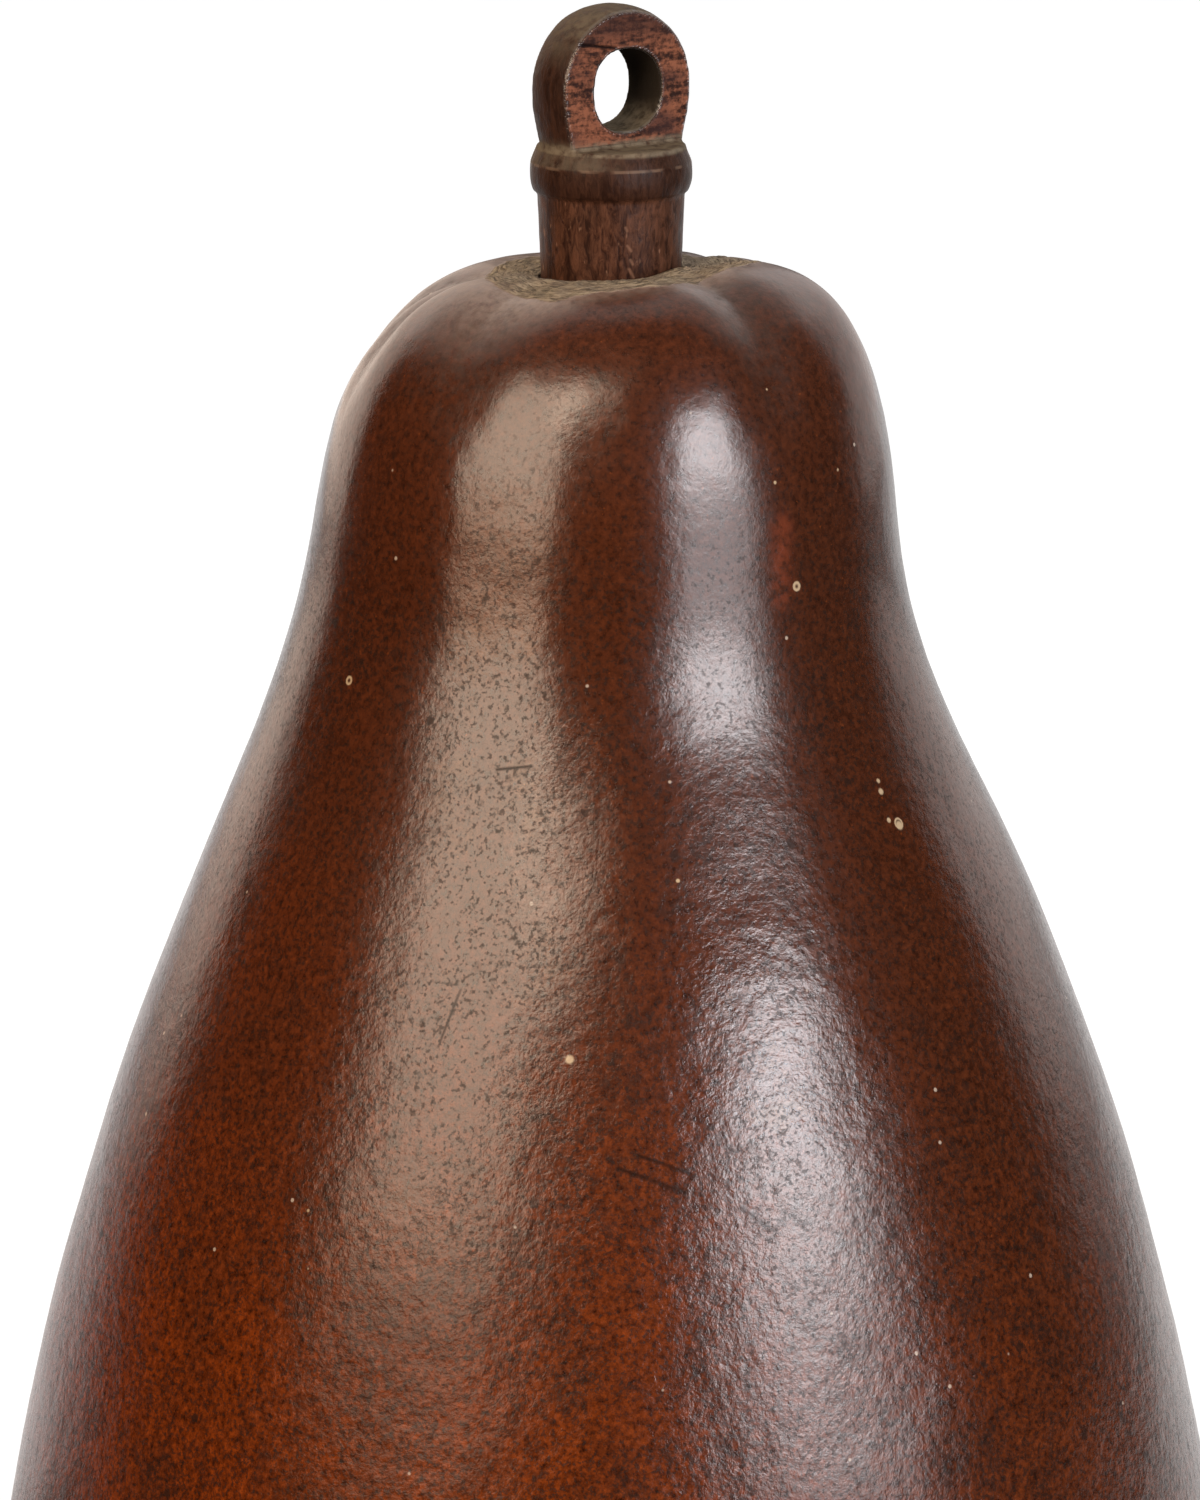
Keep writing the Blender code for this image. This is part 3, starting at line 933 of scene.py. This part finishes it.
def skin_finish(settings):
    """Polished rind: red-brown, with dark flecks, and dry bark round the mouth."""
    material, tree, place = new_material("polished_rind")
    height = add_node("ShaderNodeSeparateXYZ", {0: place}).outputs["Z"]
    rightwards = measure("DOT_PRODUCT", place, tuple(RIGHT_SIDE))
    low = over_span(height, LOW_BELLY)
    fleck = dark_flecks(place, height, low)
    smudge = product(attribute(tree, "valley"), grain_range(place, "smudge", 0.2, 0.8))
    # Pale dust round the disc, partly a painted sheen where the crown's left shoulder reflects light.
    dust_and_sheen = product(attribute(tree, "dust"), grain_range(place, "dust_and_sheen", 0.1, 0.75))
    bark, fibre, bark_colour = dry_bark(place, attribute(tree, "disc"), settings)
    rust = skin_line(place, SMEAR, SMEAR[4])
    rust = product(rust, grain_range(place, "rust", 0.3, 0.6))
    scratches = [skin_line(place, line, SCRATCH_SOFT * line[4]) for line in SCRATCHES]
    scratches = largest(scratches)
    away, chance = spots(place, LINT_SCALE)
    lint = product(ease(away, 0.065, 0.035), ease(chance, 0.62, 0.64))

    # Colour, from the ground up.
    colour = skin_ground(place, height, rightwards, low, settings)
    for share, strength, over in (
        (fleck, 0.92, settings.fleck_colour),
        (smudge, 0.75, SMUDGE_COLOUR),
        (dust_and_sheen, 0.95, DUST_AND_SHEEN_COLOUR),
        (bark, 1.0, bark_colour),
        (rust, 0.8, RUST_COLOUR),
        (pale_marks(place), 0.8, PALE_MARK),
        (scratches, 0.85, settings.fleck_colour),
        (lint, 0.7, LINT_COLOUR),
    ):
        colour = paint(colour, share, strength, over)

    # Gloss: duller where it is worn or handled, in the flecks, in the valleys and on the bark.
    gloss = settings.gloss_roughness
    rough = grain_range(place, "sheen", 0.3, 0.7, gloss, gloss + 0.05)
    worn_neck = product(over_span(height, NECK), over_span(rightwards, WORN_RIGHT))
    for share, strength, value in (
        (low, 0.75, 0.215),
        (over_span(height, WORN_CROWN), 0.7, 0.34),
        (worn_neck, 0.4, 0.3),
        (fleck, 1.0, 0.3),
        (dust_and_sheen, 0.8, 0.5),
        (smudge, 0.8, 0.55),
        (bark, 1.0, 0.95),
    ):
        rough = mix_values(product(share, strength), rough, value)
    handled = over_span(rightwards, HANDLED_LEFT)
    dull = [
        fleck,
        scratches,
        smudge,
        bark,
        product(dust_and_sheen, 0.6),
        product(worn_neck, 0.35),
        product(low, 0.36),
        product(over_span(height, HANDLED_BELLY), handled, 0.8),
    ]
    shine = mix_values(largest(dull), 0.5, 0.12)

    # Relief: leathery low on the belly, finely wrinkled all over, fibrous on the bark.
    leather = over_span(height, FULL_LEATHER, 0.35, 1.0)
    wrinkles = over_span(height, FULL_WRINKLES, 0.3, 1.0)
    layers = (
        (product(grain(place, "leather"), leather), 0.2),
        (product(grain(place, "wrinkle"), wrinkles), 0.036),
        (grain(place, "fine"), 0.008),
        (product(fibre, bark), 0.35),
    )
    connect(tree, colour, rough, shine, relief(layers))
    return material


def sawn_wood(place, height, settings):
    """Redder and coarser wood for the sawn flats: its colour, its tone and its crumbs."""
    crumb = grain(place, "crumb")
    saw = grain(stretch(place, (0.3, 1.0, 1.6)), "saw")
    tone = calculate("MULTIPLY_ADD", saw, 0.6, product(crumb, 0.4))
    sawn = mix_colours(ease(tone, 0.4, 0.6), DARK_SAWN, settings.flat_colour)
    umber = grain_range(stretch(place, (0.5, 1.0, 1.3)), "umber", 0.44, 0.62)
    sawn = paint(sawn, umber, 0.65, UMBER)
    return paint(sawn, over_span(height, STAINED_TOP), 0.7, TOP_STAIN), tone, crumb


def inside_eye(sideways, height):
    """1 inside the eye, 0 outside it."""
    raised = calculate("SUBTRACT", height, EYE_CENTRE * MM)
    shares = [calculate("DIVIDE", offset, EYE_RADIUS * MM) for offset in (sideways, raised)]
    squares = [calculate("POWER", share, 2.0) for share in shares]
    return ease(calculate("ADD", *squares), 1.16, 1.06)


def settled_dust(place, sideways, height, in_eye):
    """Dust on the collar, in the eye and on the head's upper side."""
    facing = source(place.id_data, "ShaderNodeNewGeometry").outputs["Normal"]
    up = add_node("ShaderNodeSeparateXYZ", {0: facing}).outputs["Z"]
    leftwards = over_span(sideways, DUSTY_LEFT, 0.02, 0.42)
    settled = [
        band(height, JOINT_BAND),
        product(band(height, SHOULDER_BAND), leftwards),
        product(in_eye, ease(up, 0.2, 0.8), 0.9),
        product(ease(up, 0.25, 0.9), over_span(height, DUSTY_HEAD), 0.7),
    ]
    return product(largest(settled), grain_range(place, "wood_dust", 0.2, 0.65))


def pale_pores(place, stained):
    """Pale pores in the plug: many small ones, and a few long ones."""
    pores = grain_range(stretch(place, (1.0, 1.0, 0.4)), "pores", 0.66, 0.76)
    small = product(pores, calculate("SUBTRACT", 1.0, stained))
    strokes = [
        near_line(place, plug_point(*ends[:2]), plug_point(*ends[2:]), PORE_WIDTH * MM)
        for ends in LONG_PORES
    ]
    return largest([small, product(largest(strokes), 0.7)])


def stopper_finish(settings):
    """Brown hardwood cut with a knife: fibres along its length, dust in its corners."""
    material, tree, place = new_material("carved_wood")
    split = add_node("ShaderNodeSeparateXYZ", {0: place})
    sideways = split.outputs["X"]
    height = split.outputs["Z"]
    flats = attribute(tree, "flats")
    edges = attribute(tree, "edges")
    stained = over_span(height, STAINED)
    sawn, sawn_tone, crumb = sawn_wood(place, height, settings)
    points = [Vector(point) * MM for point in CRACK]
    crack = [near_line(place, *ends, CRACK_WIDTH * MM) for ends in zip(points, points[1:])]
    crack = largest(crack)
    off_flats = calculate("SUBTRACT", 1.0, flats)
    in_eye = product(inside_eye(sideways, height), off_flats)
    dust = settled_dust(place, sideways, height, in_eye)
    # A pale line round the collar's rim: partly wear, partly a painted highlight where its ridge
    # catches light.
    rim_wear_and_highlight = product(band(height, RIM_BAND), grain_range(place, "rim_wear_and_highlight", 0.4, 0.6))

    # Colour: short fibres along the plug, then what lies over them.
    fibre = grain(stretch(place, (1.0, 1.0, 0.35)), "wood_fibre")
    streak = grain(stretch(place, (1.0, 1.0, 0.1)), "wood_streak")
    tone = calculate("MULTIPLY_ADD", streak, 0.35, product(fibre, 0.65))
    tone = ease(tone, 0.36, 0.66)
    wood = mix_colours(tone, settings.dark_colour, settings.light_colour)
    for share, strength, over in (
        (stained, 0.6, WOOD_STAIN),
        (flats, 0.92, sawn),
        (pale_pores(place, stained), 0.45, PORE_COLOUR),
        (crack, 1.0, CRACK_COLOUR),
        (in_eye, 0.9, EYE_COLOUR),
        (dust, 0.85, settings.dust_colour),
        (rim_wear_and_highlight, 0.35, RIM_WEAR_AND_HIGHLIGHT_COLOUR),
    ):
        wood = paint(wood, share, strength, over)

    # Gloss: worn edges shine, dust is dull.
    rough = ease(fibre, 0.3, 0.7, 0.34, 0.5)
    rough = mix_values(edges, rough, 0.22)
    rough = mix_values(dust, rough, 0.9)
    dull = largest([dust, in_eye, product(flats, 0.5)])
    worn = product(calculate("SUBTRACT", 1.0, dull), 0.1)
    shine = mix_values(edges, worn, 0.7)
    layers = (
        (fibre, 0.09),
        (product(sawn_tone, flats), 0.2),
        (product(crumb, edges), 0.16),
        (crack, -0.2),
    )
    connect(tree, wood, rough, shine, relief(layers))
    return material


# The studio

TARGET = Vector((-1.05, 0.79, 184.0)) * MM

# Softboxes: name, then left and right edge to the right of the camera, bottom and top above the
# horizon, how far the top leans to the right, all in degrees, then brightness and colour.
SOFTBOXES = (
    ("left_softbox", -61.0, -23.5, 13.0, 44.0, 5.0, 8.1, (1.0, 0.79, 0.6)),
    ("left_foot", -60.0, -24.0, 6.0, 13.0, 2.0, 6.6, (1.0, 0.66, 0.44)),
    ("left_corner", -26.0, -9.0, 31.0, 47.0, 0.0, 6.2, (1.0, 0.78, 0.59)),
    ("right_softbox", 26.5, 57.0, -6.0, 27.0, 0.0, 6.9, (1.0, 0.97, 1.0)),
    ("right_core", 29.0, 52.0, 13.0, 25.5, 0.0, 18.0, (1.0, 0.97, 1.0)),
    ("back_left_panel", -175.0, -126.0, -3.0, 40.0, 0.0, 1.6, (1.0, 0.82, 0.69)),
    ("back_right_panel", 120.0, 172.0, -3.0, 40.0, 0.0, 1.15, (1.0, 0.89, 0.85)),
    ("ceiling_panel", -45.0, 45.0, 92.0, 150.0, 0.0, 0.95, (1.0, 0.95, 0.9)),
)
SOFTBOX_DISTANCE = 1.0

# The floor glows a little less near the gourd than this far away, in metres.
NEAR_GLOW = 0.84
GLOW_GROWS = (0.15, 0.7)
FLOOR_SIZE = 16.0
ROOM_LIGHT = 0.02
GROUND_SIZE = (2.4, 2.0)
GROUND_DISTANCE = 1.5
GROUND_BRIGHTNESS = 0.9


def studio_direction(right, up):
    """A direction from the gourd, in degrees to the right of the camera and above the horizon."""
    turned = math.radians(right + FRONT)
    raised = math.radians(up)
    return Vector(
        (math.cos(turned) * math.cos(raised), math.sin(turned) * math.cos(raised), math.sin(raised))
    )


def area_light(name, width, height, brightness):
    light = bpy.data.lights.new(name, "AREA")
    light.shape = "RECTANGLE"
    light.size = width
    light.size_y = height
    light.energy = brightness * math.pi * width * height
    lamp = link_object(name, light)
    lamp.visible_camera = False
    return lamp


def hang_softbox(name, left, right, bottom, top, lean, brightness, colour):
    width = 2.0 * SOFTBOX_DISTANCE * math.tan(math.radians(0.5 * (right - left)))
    height = 2.0 * SOFTBOX_DISTANCE * math.tan(math.radians(0.5 * (top - bottom)))
    lamp = area_light(name, width, height, brightness)
    lamp.data.color = colour
    out = studio_direction(0.5 * (left + right), 0.5 * (bottom + top))
    lamp.location = TARGET + out * SOFTBOX_DISTANCE
    facing = (-out).to_track_quat("-Z", "Y") @ Quaternion((0.0, 0.0, 1.0), math.radians(-lean))
    lamp.rotation_euler = facing.to_euler()


def glow_behind():
    """The white ground behind the gourd, as the light that it throws up."""
    lamp = area_light("ground_behind", *GROUND_SIZE, GROUND_BRIGHTNESS)
    lamp.location = studio_direction(180.0, 0.0) * GROUND_DISTANCE + Vector((0.0, 0.0, 2.0 * MM))
    lamp.rotation_euler = (math.pi, 0.0, -math.radians(FRONT + 90.0))


def place_camera(settings):
    lens = bpy.data.cameras.new("camera")
    lens.lens = settings.lens
    lens.sensor_width = 36.0
    lens.clip_start = 0.05
    lens.clip_end = 60.0
    camera = link_object("camera", lens)
    out = studio_direction(0.0, math.degrees(settings.camera_elevation))
    camera.location = TARGET + out * settings.camera_distance
    camera.rotation_euler = (-out).to_track_quat("-Z", "Y").to_euler()
    bpy.context.scene.camera = camera


def seen_or_lit(tree, seen, lit):
    """One strength where the camera looks straight at it, another for the light that it gives."""
    direct = source(tree, "ShaderNodeLightPath").outputs["Is Camera Ray"]
    return mix_values(direct, lit, seen)


def lay_floor(settings):
    bpy.ops.mesh.primitive_plane_add(size=FLOOR_SIZE, location=(0.0, 0.0, 0.0))
    floor = bpy.context.object
    floor.name = "floor"
    material = bpy.data.materials.new("pale_floor")
    material.use_nodes = True
    shader = material.node_tree.nodes["Principled BSDF"]
    shader.inputs["Base Color"].default_value = (0.16, 0.16, 0.16, 1.0)
    shader.inputs["Roughness"].default_value = 1.0
    shader.inputs["Specular IOR Level"].default_value = 0.0
    shader.inputs["Emission Color"].default_value = (1.0, 1.0, 1.0, 1.0)
    tree = material.node_tree
    place = source(tree, "ShaderNodeTexCoord").outputs["Object"]
    near_glow = NEAR_GLOW * settings.floor_glow
    seen = ease(measure("LENGTH", place), *GLOW_GROWS, near_glow, settings.floor_glow)
    glow = seen_or_lit(tree, seen, ROOM_LIGHT)
    tree.links.new(glow, shader.inputs["Emission Strength"])
    floor.data.materials.append(material)


def light_the_room():
    """A dim room to the object, and a white ground to the camera."""
    world = bpy.data.worlds.new("studio")
    world.use_nodes = True
    tree = world.node_tree
    background = tree.nodes["Background"]
    tree.links.new(seen_or_lit(tree, 1.0, ROOM_LIGHT), background.inputs["Strength"])
    background.inputs["Color"].default_value = (1.0, 1.0, 1.0, 1.0)
    bpy.context.scene.world = world


class GOURD_OT_make_rind(bpy.types.Operator):
    """Makes the gourd's rind, with its lobes, its disc of bark and its polished skin"""

    bl_idname = "gourd.make_rind"
    bl_label = "Make the rind"

    def execute(self, context):
        settings = context.scene.gourd_rind
        mesh = turned_mesh("rind", gourd_profile(settings), settings.turn_steps)
        grow(mesh, settings)
        mesh.materials.append(skin_finish(settings))
        mesh.shade_smooth()
        rind = link_object("rind", mesh)
        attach(rind, "root")
        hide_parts("gourd")
        return {"FINISHED"}


class GOURD_OT_make_stopper(bpy.types.Operator):
    """Makes the carved wooden stopper with its eye"""

    bl_idname = "gourd.make_stopper"
    bl_label = "Make the stopper"

    def execute(self, context):
        settings = context.scene.gourd_stopper
        turned = turned_mesh("stopper_blank", stopper_profile(), STOPPER_STEPS)
        blank = link_object("stopper_blank", turned)
        cutters = (saw_block("front_saw", -1.0), saw_block("back_saw", 1.0), eye_drill())
        mesh = refine(carve(blank, cutters), settings)
        mark_with_knife(mesh, settings)
        mesh.materials.clear()
        mesh.materials.append(stopper_finish(settings))
        mesh.shade_smooth()
        stopper = link_object("carved_stopper", mesh)
        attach(stopper, "root")
        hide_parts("stopper")
        return {"FINISHED"}


class GOURD_OT_set_stage(bpy.types.Operator):
    """Sets the camera, the pale floor and the soft lights"""

    bl_idname = "gourd.set_stage"
    bl_label = "Set the stage"

    def execute(self, context):
        settings = context.scene.gourd_stage
        place_camera(settings)
        lay_floor(settings)
        for softbox in SOFTBOXES:
            hang_softbox(*softbox)
        glow_behind()
        light_the_room()
        context.scene.view_settings.view_transform = "Standard"
        return {"FINISHED"}


class GOURD_PT_panel(bpy.types.Panel):
    """Lists what can be made"""

    bl_label = "Dried Bottle Gourd"
    bl_idname = "GOURD_PT_panel"
    bl_space_type = "VIEW_3D"
    bl_region_type = "UI"
    bl_category = "Gourd"

    def draw(self, context):
        for (name, _), operator in zip(SETTINGS, OPERATORS):
            settings = getattr(context.scene, name)
            box = self.layout.box()
            for field in type(settings).__annotations__:
                box.prop(settings, field)
            box.operator(operator.bl_idname)


SETTINGS = (
    ("gourd_rind", GourdSettings),
    ("gourd_stopper", StopperSettings),
    ("gourd_stage", StageSettings),
)
OPERATORS = (GOURD_OT_make_rind, GOURD_OT_make_stopper, GOURD_OT_set_stage)


def register():
    for name, group in SETTINGS:
        bpy.utils.register_class(group)
        setattr(bpy.types.Scene, name, PointerProperty(type=group))
    for kind in (*OPERATORS, GOURD_PT_panel):
        bpy.utils.register_class(kind)


def unregister():
    for kind in reversed((*OPERATORS, GOURD_PT_panel)):
        bpy.utils.unregister_class(kind)
    for name, group in reversed(SETTINGS):
        delattr(bpy.types.Scene, name)
        bpy.utils.unregister_class(group)


def main():
    register()
    bpy.ops.gourd.make_rind()
    bpy.ops.gourd.make_stopper()
    bpy.ops.gourd.set_stage()


if __name__ == "__main__":
    main()
